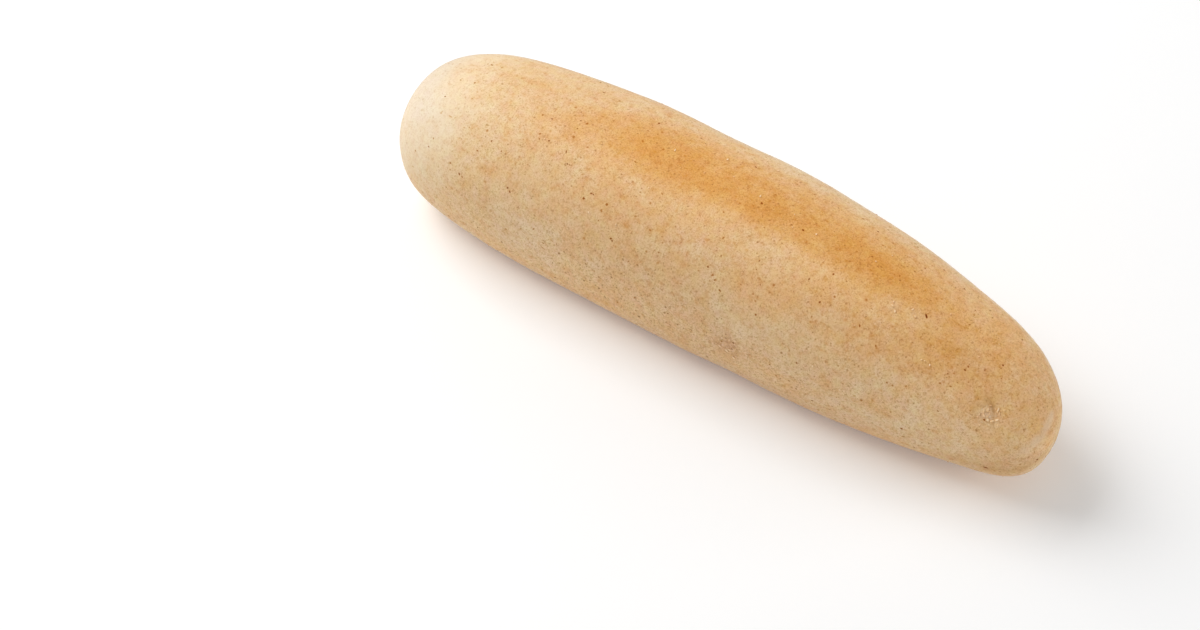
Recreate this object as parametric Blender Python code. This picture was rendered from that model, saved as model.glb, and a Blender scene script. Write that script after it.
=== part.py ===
"""Whole grain breadstick: one soft, hand-rolled stick of baked dough, lying on its flat base.

Metres, +Z up. The stick lies along X, with its blunt end at -X and its tapered end at +X. The origin is on
the surface that it rests on, under the middle of its box.

The form starts as a sphere primitive with its poles turned to the two tips. A point of the sphere is read as
a place along the stick (-1 at the blunt tip, 1 at the tapered tip) and an angle round it (0 at the back,
90 degrees on the crown, 180 degrees at the front, 270 degrees underneath), and is moved to where the bread's
skin lies there.
"""
import math

import bmesh
import bpy
from mathutils import Matrix, Vector

# Driving dimensions of the whole stick.
LENGTH = 0.152
WIDTH = 0.0424
HEIGHT = 0.0358

# The widest line round the stick, and how far the dough would sag below the tray if the tray weren't there.
BELT_HEIGHT = 0.43 * HEIGHT
SAG_BELOW_TRAY = 0.0035
BASE_EDGE_SOFTNESS = 0.0015

# Fullness of the section: 2 is an ellipse, and a higher number is squarer.
CROWN_FULLNESS = 2.1
UNDERSIDE_FULLNESS = 2.4

# How long each end keeps its width before it closes, on its back and on its front, and how blunt the tips are.
BLUNT_END_BACK = 3.0
BLUNT_END_FRONT = 6.0
TAPERED_END_BACK = 1.68
TAPERED_END_FRONT = 1.54
TIP_BLUNTNESS = 3.0
UNDERSIDE_END_EXTRA = 1.0
UNDERSIDE_TIP_EXTRA = 1.0 / 3.0

# The spine isn't straight: both ends lean to the front, the blunt one less, and the tapered tip hooks.
BOW = 0.0017
BOW_SKEW = -0.0006
HOOK = 0.0031
HOOK_START = 0.6

# Swells and dips that rolling by hand leaves: place along, angle round, reach along, reach round, height.
SWELLS = (
    (-0.80, 60.0, 0.16, 55.0, 0.00025),
    (-0.74, 205.0, 0.16, 55.0, -0.00045),
    (-0.46, 150.0, 0.20, 45.0, -0.00025),
    (-0.34, 45.0, 0.13, 50.0, 0.00030),
    (-0.12, 20.0, 0.10, 50.0, -0.00020),
    (0.08, 45.0, 0.13, 50.0, 0.00025),
    (0.14, 205.0, 0.12, 50.0, -0.00035),
    (0.30, 140.0, 0.18, 35.0, 0.00030),
    (0.44, 205.0, 0.11, 50.0, 0.00015),
    (0.64, 35.0, 0.12, 50.0, -0.00045),
    (0.70, 120.0, 0.14, 40.0, -0.00030),
    (0.80, 205.0, 0.10, 50.0, -0.00035),
    (0.86, 30.0, 0.08, 55.0, 0.00035),
)

# The small dent near the tapered tip, where a blister broke: place along, angle round, reach and depth.
DENT_ALONG = 0.855
DENT_ANGLE = 135.0
DENT_REACH = 0.0021
DENT_DEPTH = 0.0006

# The pinched nub on the tapered tip: a shallow crease curls round its upper front.
NUB_RADIUS = 0.0066
NUB_PROUD = 0.0004
CREASE_WIDTH = 0.0015
CREASE_DEPTH = 0.0007
CREASE_MIDDLE = 118.0
CREASE_REACH = 62.0
NUB_START = 0.90

# Fineness of the mesh.
SIDES_ROUND = 72
RINGS_ALONG = 64

CRUST_COLOUR = (0.75, 0.49, 0.255, 1.0)
CRUST_ROUGHNESS = 0.72


def clear_scene():
    """Remove whatever the file holds, so that only the bread is left."""
    for thing in list(bpy.data.objects):
        bpy.data.objects.remove(thing, do_unlink=True)


def ease(value, start, end):
    """0 before start, 1 after end, and a smooth rise between them."""
    share = min(max((value - start) / (end - start), 0.0), 1.0)
    return share * share * (3.0 - 2.0 * share)


def bell(distance, reach):
    """1 at no distance, falling away smoothly over the reach."""
    return math.exp(-(distance / reach) ** 2)


def angle_between(first, second):
    """Smallest angle between two headings, in degrees."""
    return abs((first - second + 180.0) % 360.0 - 180.0)


def powered(value, fullness):
    """One coordinate of a superellipse, from the sine or cosine of its angle."""
    return math.copysign(abs(value) ** (2.0 / fullness), value)


def closing(along, length_kept, bluntness):
    """Share of the full radius that is left at a place along the stick, down to 0 at its tips."""
    return max(1.0 - abs(along) ** length_kept, 0.0) ** (1.0 / bluntness)


def end_share(along, backness, extra_length=0.0, extra_bluntness=0.0):
    """Share of the full radius, blended from the stick's front to its back."""
    back, front = (BLUNT_END_BACK, BLUNT_END_FRONT) if along < 0.0 else (TAPERED_END_BACK, TAPERED_END_FRONT)
    bluntness = TIP_BLUNTNESS + extra_bluntness
    at_back = closing(along, back + extra_length, bluntness)
    at_front = closing(along, front + extra_length, bluntness)
    return backness * at_back + (1.0 - backness) * at_front


def spine_offset(along):
    """How far the spine lies to the back (+Y) at a place along the stick."""
    hook = min(max((along - HOOK_START) / (1.0 - HOOK_START), 0.0), 1.0)
    return -BOW * along ** 2 + BOW_SKEW * along ** 3 - HOOK * hook ** 2


def swell_height(along, angle):
    """Height of the hand-rolled swells and dips, outward from the spine."""
    return sum(
        height * bell(along - place, reach_along) * bell(angle_between(angle, heading), reach_round)
        for place, heading, reach_along, reach_round, height in SWELLS
    )


def dent_depth(along, angle, radius):
    """Depth of the small dent, inward to the spine, by the distance from its middle over the skin."""
    distance_along = (along - DENT_ALONG) * LENGTH / 2.0
    distance_round = math.radians(angle_between(angle, DENT_ANGLE)) * radius
    return DENT_DEPTH * bell(math.hypot(distance_along, distance_round), DENT_REACH)


def rest_on_tray(height):
    """Flatten what would lie below the tray, with a soft edge round the flat base."""
    if height > BASE_EDGE_SOFTNESS:
        return height
    return (max(height, -BASE_EDGE_SOFTNESS) + BASE_EDGE_SOFTNESS) ** 2 / (4.0 * BASE_EDGE_SOFTNESS)


def nub_relief(along, angle, radius):
    """How far the tapered tip's skin stands out along +X: the nub, less the crease that curls round it."""
    nub = NUB_PROUD * (1.0 - ease(radius, 0.0, NUB_RADIUS))
    crease = CREASE_DEPTH * bell(radius - NUB_RADIUS, CREASE_WIDTH)
    crease *= bell(angle_between(angle, CREASE_MIDDLE), CREASE_REACH)
    return (nub - crease) * ease(along, NUB_START, 1.0)


def skin_point(along, angle):
    """Where the bread's skin lies, for a place along the stick and an angle round it in degrees."""
    across, rise = math.cos(math.radians(angle)), math.sin(math.radians(angle))
    backness = (1.0 + across) / 2.0
    share = end_share(along, backness)
    if rise >= 0.0:
        half_width = WIDTH / 2.0 * share * powered(across, CROWN_FULLNESS)
        height = (HEIGHT - BELT_HEIGHT) * share * powered(rise, CROWN_FULLNESS)
    else:
        under = end_share(along, backness, UNDERSIDE_END_EXTRA, UNDERSIDE_TIP_EXTRA)
        half_width = WIDTH / 2.0 * share * powered(across, UNDERSIDE_FULLNESS)
        height = (BELT_HEIGHT + SAG_BELOW_TRAY) * under * powered(rise, UNDERSIDE_FULLNESS)
    radius = math.hypot(half_width, height)
    relief = swell_height(along, angle) * min(share * 2.0, 1.0) - dent_depth(along, angle, radius)
    x = (LENGTH - NUB_PROUD) / 2.0 * along + nub_relief(along, angle, radius)
    y = half_width + relief * across + spine_offset(along)
    z = rest_on_tray(BELT_HEIGHT + height + relief * rise)
    return Vector((x, y, z))


def centre_box(bm):
    """Put the middle of the box over the origin."""
    for axis in (0, 1):
        places = [vert.co[axis] for vert in bm.verts]
        middle = (min(places) + max(places)) / 2.0
        for vert in bm.verts:
            vert.co[axis] -= middle


def crust_material():
    """Pale, matt baked skin."""
    material = bpy.data.materials.new("crust")
    material.use_nodes = True
    shader = material.node_tree.nodes["Principled BSDF"]
    shader.inputs["Base Color"].default_value = CRUST_COLOUR
    shader.inputs["Roughness"].default_value = CRUST_ROUGHNESS
    shader.inputs["Metallic"].default_value = 0.0
    return material


def make_breadstick(collection):
    """The whole stick as one closed solid."""
    bm = bmesh.new()
    poles_to_tips = Matrix.Rotation(math.radians(90.0), 4, "Y")
    bmesh.ops.create_uvsphere(
        bm, u_segments=SIDES_ROUND, v_segments=RINGS_ALONG, radius=1.0, matrix=poles_to_tips)
    for vert in bm.verts:
        along = min(max(vert.co.x, -1.0), 1.0)
        angle = math.degrees(math.atan2(vert.co.z, vert.co.y)) % 360.0
        vert.co = skin_point(along, angle)
    centre_box(bm)
    bmesh.ops.recalc_face_normals(bm, faces=bm.faces)

    mesh = bpy.data.meshes.new("breadstick")
    bm.to_mesh(mesh)
    bm.free()
    mesh.shade_smooth()
    mesh.materials.append(crust_material())
    breadstick = bpy.data.objects.new("breadstick", mesh)
    collection.objects.link(breadstick)
    return breadstick


def main():
    clear_scene()
    collection = bpy.data.collections.new("whole_grain_breadstick")
    bpy.context.scene.collection.children.link(collection)
    make_breadstick(collection)


main()
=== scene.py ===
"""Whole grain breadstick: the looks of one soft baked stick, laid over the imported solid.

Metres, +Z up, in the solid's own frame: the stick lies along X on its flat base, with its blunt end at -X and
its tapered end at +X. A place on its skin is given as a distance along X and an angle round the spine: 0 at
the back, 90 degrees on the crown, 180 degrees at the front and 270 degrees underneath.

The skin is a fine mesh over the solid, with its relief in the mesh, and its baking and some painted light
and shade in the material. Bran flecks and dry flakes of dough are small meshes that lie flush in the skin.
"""

import math

import bmesh
import bpy
import numpy as np
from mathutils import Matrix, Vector, noise
from mathutils.bvhtree import BVHTree


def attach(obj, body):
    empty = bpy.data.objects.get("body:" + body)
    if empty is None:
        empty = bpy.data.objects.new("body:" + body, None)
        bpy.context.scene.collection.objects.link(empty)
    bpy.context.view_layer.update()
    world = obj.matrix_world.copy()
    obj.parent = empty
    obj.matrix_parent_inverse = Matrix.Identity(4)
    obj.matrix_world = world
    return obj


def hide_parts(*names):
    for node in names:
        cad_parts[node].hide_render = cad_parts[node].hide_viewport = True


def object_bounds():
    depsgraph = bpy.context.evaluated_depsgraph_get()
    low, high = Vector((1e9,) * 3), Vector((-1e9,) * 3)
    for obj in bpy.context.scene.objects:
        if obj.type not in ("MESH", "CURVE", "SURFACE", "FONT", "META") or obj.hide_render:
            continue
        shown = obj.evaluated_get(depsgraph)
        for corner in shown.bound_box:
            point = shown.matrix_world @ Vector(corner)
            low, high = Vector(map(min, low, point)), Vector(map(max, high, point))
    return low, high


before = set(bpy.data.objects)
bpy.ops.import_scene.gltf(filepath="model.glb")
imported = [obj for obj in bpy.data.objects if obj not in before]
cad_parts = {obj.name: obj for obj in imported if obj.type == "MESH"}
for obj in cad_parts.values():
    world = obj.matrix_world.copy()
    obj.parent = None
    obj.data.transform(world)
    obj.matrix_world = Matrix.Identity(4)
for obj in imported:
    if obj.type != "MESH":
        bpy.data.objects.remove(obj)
cad_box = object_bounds()

MM = 0.001
TURN = 360.0
QUARTER_TURN = 90.0

# The camera: the heading and height it looks from, its distance, and the point that it aims at, which lies
# to the left of the stick's middle and below it, as the picture has the stick in its upper right. Then the
# lens and the sensor's width, in millimetres, and the nearest distance that it sees.
VIEW_AZIMUTH = 34.587
VIEW_ELEVATION = 50.0
VIEW_DISTANCE = 0.5663
AIM_HEIGHT = 0.016
AIM_RIGHT = -0.02625
AIM_UP = -0.01256
LENS = 85.0
SENSOR_WIDTH = 36.0
NEAREST_SEEN = 0.01

# The skin's mesh: sides round the stick, rings from tip to tip, and how often each face is then halved. Its
# corners are placed by rays, which fan out from this far inside each tip.
SKIN_SIDES = 64
SKIN_RINGS = 86
SKIN_HALVINGS = 2
TIP_FAN = 18.0 * MM

# The spine bows through both tips and the middle of the waist, which is read this far either way along X.
WAIST_SLICE = 4.0 * MM

# How much farther than along X a noise is shifted along Y.
SHIFT_IN_Y = 1.7

# Soft relief of the skin: size of its features, and depth, with the noise of each layer shifted, and pores.
SKIN_WAVES = (
    (9.0 * MM, 0.090 * MM),
    (3.4 * MM, 0.060 * MM),
    (1.6 * MM, 0.040 * MM),
)
WAVE_SHIFT = 3.0
PORES = 60
PORE_WIDTH = (0.30 * MM, 0.60 * MM)
PORE_DEPTH = (0.03 * MM, 0.07 * MM)

# The broken blister near the tapered tip: a narrow groove, turned from +X to the front, that wanders by a
# noise of a size and a shift, and dry, ragged skin in front of it. Scattered bran keeps clear of it.
BLISTER_X = 65.0 * MM
BLISTER_ANGLE = 127.4
BLISTER_TURN = 46.0
BLISTER_LENGTH = 1.70 * MM
BLISTER_WIDTH = 0.42 * MM
BLISTER_BEND = 0.28 * MM
BLISTER_DEPTH = 0.15 * MM
BLISTER_WANDER = 0.15 * MM
BLISTER_NOISE = (1.3 * MM, 5.0)
RAGGED_X = 64.9 * MM
RAGGED_ANGLE = 136.5
RAGGED_REACH = 1.9 * MM
RAGGED_HEIGHT = 0.10 * MM
CLEAR_SKIN = 3.4 * MM

# No mark on the skin reaches farther than this from its middle.
MARK_REACH = 8.0 * MM

# The pale fold where the tapered tip was pinched: an arc over the tip, at a distance from the X axis, which
# fades in and out from its front to its back, with a groove outside it.
FOLD_RADIUS = 21.4 * MM
FOLD_WIDTH = 0.80 * MM
FOLD_HEIGHT = 0.04 * MM
FOLD_FROM_X = 69.0 * MM
FOLD_FADES_IN = (-14.0 * MM, -11.0 * MM)
FOLD_FADES_OUT = (-4.0 * MM, -2.0 * MM)
FOLD_GROOVE_AWAY = 1.4 * FOLD_WIDTH
FOLD_GROOVE_WIDTH = 0.6 * FOLD_WIDTH
FOLD_GROOVE_DEPTH = 0.03 * MM

# Low, pale blisters on the crown: place along X, angle round, reach and height.
LOW_BLISTERS = (
    (40.1 * MM, 105.3, 1.05 * MM, 0.05 * MM),
    (43.7 * MM, 99.8, 1.15 * MM, 0.05 * MM),
)

# How uneven these marks are: the noise's size and shift, the middle share, and how far it varies from it.
RAGGED_UNEVEN = (0.7 * MM, 9.0, 0.5, 1.1)
FOLD_UNEVEN = (1.8 * MM, 31.0, 0.8, 0.9)
LOW_UNEVEN = (0.9 * MM, 41.0, 0.75, 0.9)

# The wrinkled patch on the front, where the drying skin pulled together. Its wrinkles are drawn out along
# the stick.
WRINKLE_X = 12.0 * MM
WRINKLE_ANGLE = 179.0
WRINKLE_REACH = 2.7 * MM
WRINKLE_SPACING = 1.1 * MM
WRINKLE_SHIFT = 21.0
WRINKLE_DRAWN = (0.45, 1.0, 1.0)
WRINKLE_SHARPNESS = 2.2
WRINKLE_DEPTH = 0.13 * MM

# How flaky and how torn the skin is on each mark.
FLAKY_RAGGED = 0.6
FLAKY_FOLD = 1.25
FLAKY_LOW = 0.75
TORN_RAGGED = 1.0
TORN_WRINKLED = 1.4

# How deeply the skin baked, from 0 at its palest to 1 at its deepest toast: its flanks, how much paler the
# blunt end is, partly its own paler baking and partly a painted highlight where the lamp lights it most,
# and the toasted band along the crown.
FLANK_HEAT = 0.285
BLUNT_END_PALE_AND_HIGHLIGHT = 0.49
BLUNT_END_FROM_TO = (-77.0 * MM, -46.0 * MM)
BAND_HEAT = 0.585
BAND_RISE = (-36.5 * MM, -12.5 * MM)
BAND_FALL = (34.5 * MM, 56.5 * MM)
BAND_ANGLE = 91.8
BAND_DRIFT = -0.27 / MM
BAND_REACH_FRONT = 24.0
BAND_REACH_BACK = 30.0
BAND_SHARPNESS = 1.63

# Patches that baked more or less than that, in millimetres and degrees: place along X, angle round, reach
# along, reach round, and heat.
BAKED_PATCHES = (
    (-27, 92, 11, 15, 0.24),
    (37, 89.5, 9.5, 9, 0.12),
    (59.5, 80.5, 13.5, 44, 0.33),
    (19, 44.5, 43, 28, -0.2),
    (-53, 90, 7, 17.5, 0.09),
    (39, 126, 23.5, 20.5, 0.16),
    (-36.5, 108.5, 11, 15.5, 0.17),
    (9, 113, 18, 8, -0.13),
    (-66, 78, 4, 25, 0.05),
    (20, 138, 5, 7, 0.12),
    (19, 157, 8, 8, -0.1),
    (-38, 169, 7, 7, -0.12),
    (52, 108, 4, 8, 0.1),
    (-13, 82, 4, 6, 0.1),
    (7, 99, 6, 5, 0.1),
    (-47, 98, 5, 6, -0.04),
    (-13, 119, 9, 5, -0.08),
    (50, 186, 16, 12, -0.08),
    (74, 140, 4, 50, 0.14),
    (-66, 126, 8, 26, -0.12),
    # Partly browning low on the blunt end, and partly painted warm light reflected up from a stick below it.
    (-69, 200, 9, 16, 0.4),
    (-40, 186, 6, 9, -0.1),
    (68, 140, 8, 24, 0.14),
    (58, 128, 28, 40, 0.03),
    (45, 172, 20, 14, 0.05),
    (-40, 84, 4, 6, 0.08),
    (0, 118, 5, 12, 0.05),
    (65, 72, 5, 20, 0.05),
    (-63.5, 96, 4.5, 20, 0.1),
    (40, 110, 4, 8, 0.08),
)

# Painted shade and painted light: patches of skin painted darker (duller) or lighter (clearer) to even out
# how the lamps fall on it, on the flank and crown, at both tips and along the foot, given in the same way.
PAINTED_LIGHT_AND_SHADE_PATCHES = (
    (0, 180, 90, 26, 0.03),
    (-15, 114, 60, 16, -0.04),
    (-9, 148, 24, 20, 0.08),
    (62, 152, 24, 32, -0.08),
    (-58, 130, 12, 50, -0.03),
    (71, 195, 7, 18, 0.06),
    (73, 138, 6, 45, -0.14),
    (76, 142, 2.2, 50, 0.12),
    (27, 110, 17, 9, -0.05),
    (0, 194, 15, 10, 0.05),
    (-47, 168, 7, 12, 0.04),
    (57, 106, 6, 11, 0.05),
    (-70.5, 104, 4.5, 44, 0.07),
    (65.5, 137, 3, 14, -0.06),
    (42, 103, 3.2, 7, -0.04),
    (66, 208, 10, 11, 0.14),
    (22, 206, 20, 9, 0.09),
)

# Patches with a dusting of flour, given in the same way. The big one on the blunt tip is partly a painted
# highlight: the cool whitening where the lamp lights it most.
FLOUR_AND_HIGHLIGHT_PATCHES = (
    (-15, 167, 36, 14, 0.06),
    (-71, 110, 5, 60, 0.48),
    (-64, 134, 5, 14, 0.18),
    (-40, 182, 8, 9, 0.09),
    (40, 196, 10, 10, 0.12),
    (72, 180, 5, 20, 0.08),
    (18, 206, 24, 9, 0.14),
    (20, 174, 18, 12, 0.06),
)

# Coarser patches, on the blunt tip and low on the sides, and a smoother one, given in the same way.
COARSE_PATCHES = (
    (-69, 118, 6, 45, 0.3),
    (-50, 84, 16, 18, -0.22),
    (-6, 187, 50, 22, 0.7),
    (-6, 353, 50, 22, 0.7),
)

# The underside: how high its warm tint and its browning reach up the sides.
WARM_FOOT = (2.0 * MM, 9.0 * MM)
WARM_FOOT_HEAT = 0.14
BROWNED_FOOT = (0.3 * MM, 3.6 * MM)

# Larger bran flecks, in millimetres and degrees: place along X, angle round, length, width, turn from +X to
# the front, and darkness.
LARGE_FLECKS = (
    (46, 96.5, 1.25, 0.58, 42, 1.0),
    (-41.6, 151, 0.58, 0.48, -22, 0.95),
    (-64, 118.5, 0.6, 0.4, -43, 0.8),
    (-53.2, 157.5, 0.85, 0.52, 48, 0.74),
    (-31.8, 124.5, 0.5, 0.38, 61, 0.85),
    (28, 62.5, 0.6, 0.45, 23, 0.78),
    (-16.4, 150.5, 0.6, 0.44, 2, 0.8),
    (13.6, 174.8, 0.7, 0.5, 25, 0.9),
    (11, 178.3, 0.9, 0.64, -43, 0.6),
    (6.6, 143, 0.6, 0.46, -39, 0.68),
    (64.6, 142, 0.62, 0.5, 20, 0.8),
    (4.4, 121, 0.8, 0.55, -59, 0.5),
    (27.2, 135.5, 0.7, 0.5, 83, 0.52),
    (-36.4, 67.5, 1.15, 0.42, 10, 0.66),
    (-32.2, 69.5, 0.6, 0.42, -26, 0.56),
    (36.2, 126, 0.8, 0.45, 63, 0.6),
    (40.6, 132, 0.72, 0.46, 33, 0.56),
    (-9, 177.5, 0.75, 0.46, -27, 0.66),
    (56.4, 130.5, 0.8, 0.48, -28, 0.54),
    (54.4, 132.5, 0.64, 0.46, -20, 0.52),
    (-65.6, 161, 0.66, 0.45, 27, 0.58),
    (13, 122.5, 0.7, 0.36, 87, 0.62),
    (30.8, 83.5, 0.42, 0.34, 9, 0.76),
    (-21.4, 92, 1.1, 0.5, 34, 0.42),
    (-22.2, 83.5, 0.66, 0.44, 9, 0.46),
    (14.6, 131, 1.4, 0.66, -11, 0.34),
    (15.4, 133.5, 0.5, 0.4, 47, 0.52),
    (57.6, 109.5, 0.6, 0.42, 61, 0.58),
    (-61.8, 146, 0.5, 0.42, 58, 0.58),
    (-5.2, 190, 0.66, 0.44, 38, 0.62),
    (45.2, 151, 0.62, 0.44, 41, 0.56),
    (48.8, 147, 0.6, 0.48, -52, 0.46),
    (26.2, 184.5, 0.55, 0.44, 7, 0.58),
    (1.6, 108.5, 0.58, 0.48, 24, 0.5),
    (-31.2, 172.5, 0.85, 0.38, 7, 0.56),
    (-31.4, 176, 0.95, 0.46, 23, 0.36),
    (-56, 171, 0.5, 0.4, 16, 0.6),
    (-55.6, 158, 0.5, 0.4, 80, 0.54),
    (-30, 111, 0.75, 0.42, -40, 0.46),
    (56, 154, 0.58, 0.42, -6, 0.54),
    (-20.6, 144, 0.5, 0.4, 85, 0.54),
    (-60.2, 129, 1.2, 0.46, 3, 0.34),
    (-11.2, 115.5, 0.85, 0.42, 25, 0.42),
    (50.4, 197.5, 1.2, 0.5, -15, 0.5),
    (31.4, 199, 1.5, 0.8, 10, 0.34),
    (75.2, 197, 0.9, 0.5, 80, 0.9),
    (67, 205, 1.6, 0.6, 8, 0.8),
)

# Dry, pale flakes of dough, given in the same way, with how pale they are.
PALE_FLAKES = (
    (63.4, 139.5, 0.46, 0.32, 60, 0.45),
    (64.2, 138.2, 0.95, 0.44, 40, 0.55),
    (63.8, 133.6, 0.9, 0.4, 70, 0.45),
    (64.4, 131.2, 1.05, 0.46, 80, 0.5),
    (65.2, 140.2, 0.8, 0.56, 10, 0.85),
    (66, 139.2, 0.9, 0.4, -35, 0.75),
    (66.7, 136, 0.9, 0.5, -50, 0.8),
    (66.1, 126.4, 1.2, 0.44, 88, 0.75),
    (66.6, 129.2, 0.8, 0.34, 70, 0.4),
    (67.3, 141, 0.46, 0.34, 45, 0.5),
    (43.2, 98.2, 1, 0.42, -70, 0.65),
    (44.3, 101.5, 0.9, 0.6, 20, 0.45),
    (40.6, 106.5, 0.95, 0.48, 49, 0.7),
    (39.6, 104.2, 1, 0.44, 26, 0.6),
    (39.4, 101.5, 0.7, 0.46, 80, 0.5),
    (30.6, 163.5, 0.6, 0.46, -88, 1.0),
    (51.2, 124.5, 0.58, 0.42, 66, 1.0),
    (50, 123.8, 0.4, 0.3, 20, 0.6),
    (19.4, 91.5, 0.6, 0.44, 63, 0.95),
    (5.6, 88.5, 1.2, 0.42, 71, 0.7),
    (-14.8, 87.5, 1, 0.38, 67, 0.8),
    (-5.2, 75, 0.8, 0.44, 79, 0.85),
    (-1.4, 85, 0.5, 0.34, 70, 0.6),
    (13.4, 87.5, 0.46, 0.32, 60, 0.6),
    (14.8, 95.5, 0.46, 0.32, 40, 0.6),
    (32, 85, 0.6, 0.42, 15, 0.6),
    (33.6, 74, 0.4, 0.32, 50, 0.75),
    (4, 62.5, 0.65, 0.44, 30, 0.6),
    (-23.2, 142.5, 0.55, 0.48, 71, 0.85),
    (10.6, 183, 0.9, 0.42, 25, 0.8),
    (12.2, 184.4, 1.3, 0.48, 20, 1.0),
    (12.9, 182, 0.8, 0.4, 0, 0.65),
    (13.8, 187.6, 1.1, 0.56, 20, 0.9),
    (36.8, 172.5, 0.65, 0.5, 20, 0.65),
    (3, 178, 0.48, 0.4, 10, 0.6),
    (-3.4, 184, 0.48, 0.4, -15, 0.6),
)

# The small bran flecks: how many places are tried, the share of them that is kept and how much it varies
# from cluster to cluster, and the clusters' sizes. The flecks' length, spread over its range by a beta curve,
# their width as a share of it, and how far they stand out.
BRAN_FLECKS = 7000
FLECK_CROWDING = 0.45
FLECK_CLUSTERING = 0.8
FLECK_CLUSTERS = (11.0 * MM, 3.5 * MM)
FLECK_LENGTH = (0.42 * MM, 1.10 * MM)
FLECK_LENGTH_BETA = (1.3, 3.0)
FLECK_SLIMNESS = (0.5, 0.95)
FLECK_RISE = 0.016 * MM

# How dark they are: the least darkness and the gamma curve of most of them, the share that is darker, which
# falls off where the skin is toasted, and by how much. Pale dough veils them down to a part of it.
FLECK_DARKNESS = 0.07
FLECK_DARKNESS_GAMMA = (1.6, 0.060)
DARKER_SHARE = 0.23
DARKER_SHARE_LOST = 0.6
DARKER_SHARE_FALLS = (0.4, 0.8)
DARKER_BY = 0.07
DARKER_SPREAD = 0.22
DARKEST_FLECK = 0.75
DARKNESS_LEFT = 0.4

# The small dry flakes: how many lie anywhere, and how many by the broken blister over a share of its ragged
# skin's reach. Their length, width as a share of it, paleness, and how far they stand out and peel up.
SMALL_FLAKES = 170
RAGGED_FLAKES = 14
RAGGED_FLAKES_SPREAD = 0.6
FLAKE_LENGTH = (0.25 * MM, 0.50 * MM)
FLAKE_SLIMNESS = (0.5, 0.9)
FLAKE_PALENESS = (0.15, 0.6)
FLAKE_RISE = 0.045 * MM
FLAKE_PEEL = 0.14 * MM

# Each fleck or flake: corners round it, how uneven its outline and its peeling are, how far its edge stands
# out, how deep it is rooted, and how much rolling turned it along the stick.
CHIP_CORNERS = 8
CHIP_UNEVEN = (-0.30, 0.24)
PEEL_UNEVEN = (0.5, 1.2)
CHIP_EDGE = 0.002 * MM
CHIP_ROOT = 0.06 * MM
ROLLED_ALONG = 1.6
SEED = 20

# Baked colours, from the palest dough to the deepest toast, and where each comes on the colour ramp. A heat
# is turned into a place there by a factor and a start.
BLEACHED_DOUGH = (0.835, 0.672, 0.448, 1.0)
PALE_DOUGH = (0.800, 0.541, 0.287, 1.0)
WARM_DOUGH = (0.790, 0.455, 0.191, 1.0)
TOASTED_DOUGH = (0.770, 0.395, 0.116, 1.0)
DEEP_TOAST = (0.740, 0.330, 0.064, 1.0)
BAKING_STEPS = (
    (0.06, BLEACHED_DOUGH), (0.40, PALE_DOUGH), (0.60, WARM_DOUGH), (0.79, TOASTED_DOUGH), (1.0, DEEP_TOAST))
RAMP_FACTOR = 0.8
RAMP_START = 0.2

# Colours of the marks, of flour, which on the blunt tip is also a painted highlight, of the painted shade in
# the blister's groove, and of the underside.
DRY_DOUGH = (0.980, 0.745, 0.485, 1.0)
PINK_DOUGH = (0.740, 0.440, 0.250, 1.0)
FLAKY_DOUGH = (0.870, 0.650, 0.440, 1.0)
FLOUR_AND_HIGHLIGHT_DOUGH = (0.740, 0.660, 0.590, 1.0)
GROOVE_SHADE_DOUGH = (0.500, 0.235, 0.060, 1.0)
BROWNED_DOUGH = (0.500, 0.230, 0.075, 1.0)

# Where dough is darker it is redder too: how much faster green and blue fade than red.
GREEN_FADING = 0.53
BLUE_FADING = 1.28
BRAN_DARKNESS = 0.76
BRAN_REDNESS = 1.5

# The palest dough has the softest grain: the range of heat over which its contrast grows, and the least.
GRAIN_GROWS = (-0.08, 0.38)
LEAST_GRAIN = 0.42

# Unevenness of the baked dough: size of each kind, how much it adds to the heat, and how much it darkens.
# The grain adds more where the dough is hotter. Ochre spots are a noise's peaks, between two levels.
BLOTCH_SIZE = 6.0 * MM
BLOTCH_HEAT = 0.48
MOTTLE_SIZE = 2.6 * MM
MOTTLE_HEAT = 0.38
MOTTLE_SHADE = 0.11
OCHRE_SIZE = 1.3 * MM
OCHRE_PEAKS = (0.55, 0.80)
OCHRE_HEAT = 0.12
OCHRE_SHADE = 0.10
GRAIN_SIZE = 0.36 * MM
GRAIN_ROUGHNESS = 0.75
GRAIN_HEAT = (0.06, 0.58)
GRAIN_HEAT_GROWS = (0.3, 0.8)
GRAIN_SHADE = 0.38
MOST_LIGHTENING = -0.06

# Greener and redder patches: their size, the range of green in them, and how blue follows it.
TINT_SIZE = 2.0 * MM
TINT_ROUGHNESS = 0.6
TINT_GREEN = 0.13
TINT_BLUE = -1.3

# The ragged edge of the browning underneath.
BROWNED_RAGGED = 0.9
BROWNED_EDGE = (0.15, 0.95)

# Bran specks under the skin, in layers: spacing, radius as a share of it, and darkness. The palest has a
# share of that darkness, and the smallest a share of that radius. Their outlines wander and are soft.
SPECK_LAYERS = ((1.60 * MM, 0.20, 0.34), (0.85 * MM, 0.28, 0.26))
PALEST_SPECK = 0.2
SMALLEST_SPECK = 0.35
SPECK_WANDER = 0.35 * MM
SPECK_WANDER_SIZE = 0.5 * MM
SPECK_SOFT_FROM = 0.55

# Dry dots, made as the specks are: spacing, radius, the tint from which on they show, and the most they do.
DOT_SPACING = 1.25 * MM
DOT_RADIUS = 0.16
DOT_FROM = 0.35
DOT_SHOWS = 0.30

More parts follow.
